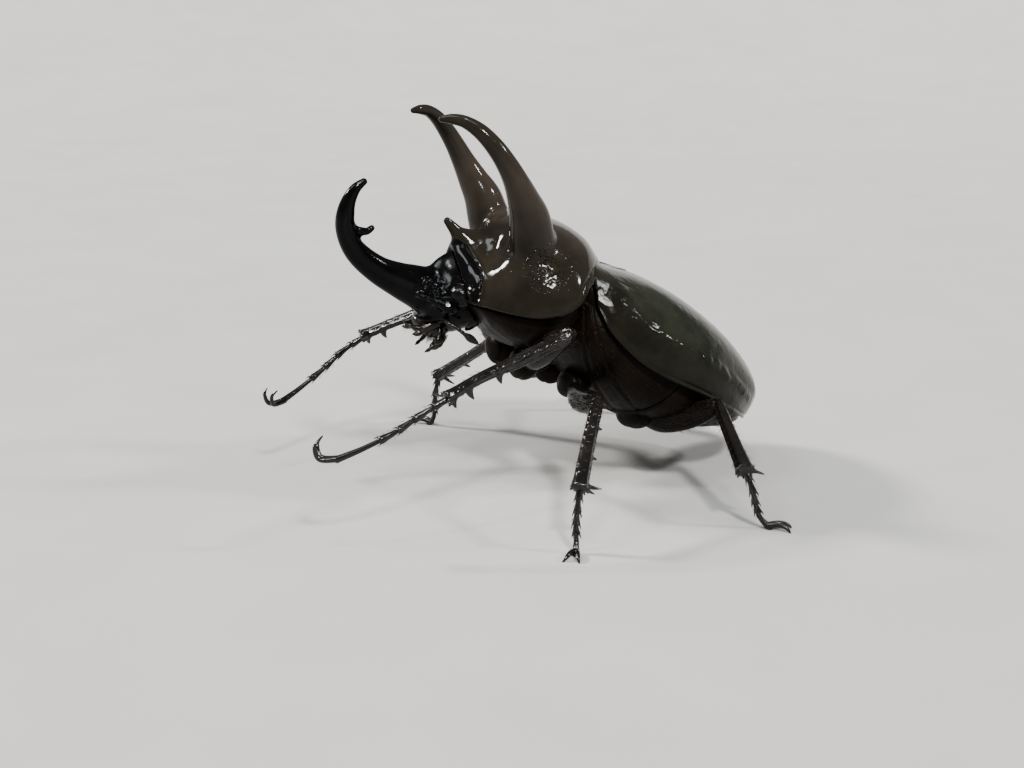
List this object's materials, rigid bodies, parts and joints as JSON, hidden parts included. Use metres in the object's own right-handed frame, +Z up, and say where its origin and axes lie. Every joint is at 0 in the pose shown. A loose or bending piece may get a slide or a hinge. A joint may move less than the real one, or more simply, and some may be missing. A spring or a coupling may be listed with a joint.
{
  "type": "atlas beetle",
  "caption": "Life-size still model of a male atlas beetle, black and glossy, standing high on bent legs with long curved horns raised",
  "frame": {"origin": "on the floor, under the middle of the model's box", "axes": "+Z is up, the head faces -Y, and +X is the beetle's left"},
  "size_m": [0.096, 0.1012, 0.0755],
  "materials": {
    "cuticle": "glossy black insect cuticle",
    "pronotum": "polished brown-black insect cuticle",
    "elytra": "finely wrinkled, glossy green-black wing cases",
    "underside": "satin red-black cuticle",
    "eye": "very glossy black compound eye",
    "mouth": "dull dark red-brown cuticle"
  },
  "bodies": {
    "root": {"head": "cuticle", "head_horn": "cuticle", "eye_left": "eye", "eye_right": "eye", "antenna_left": "mouth", "antenna_right": "mouth", "mouthparts": "mouth", "pronotum": "pronotum", "pronotal_horn_left": "pronotum", "pronotal_horn_right": "pronotum", "pronotal_horn_middle": "pronotum", "prosternum": "underside", "thorax": "underside", "abdomen": "underside", "scutellum": "elytra", "elytron_left": "elytra", "elytron_right": "elytra", "coxa_front_left": "underside", "coxa_front_right": "underside", "coxa_middle_left": "underside", "coxa_middle_right": "underside", "coxa_hind_left": "underside", "coxa_hind_right": "underside", "femur_front_left": "cuticle", "femur_front_right": "cuticle", "femur_middle_left": "cuticle", "femur_middle_right": "cuticle", "femur_hind_left": "cuticle", "femur_hind_right": "cuticle", "tibia_front_left": "cuticle", "tibia_front_right": "cuticle", "tibia_middle_left": "cuticle", "tibia_middle_right": "cuticle", "tibia_hind_left": "cuticle", "tibia_hind_right": "cuticle", "tarsus_front_left": "cuticle", "tarsus_front_right": "cuticle", "tarsus_middle_left": "cuticle", "tarsus_middle_right": "cuticle", "tarsus_hind_left": "cuticle", "tarsus_hind_right": "cuticle"}
  },
  "joints": []
}
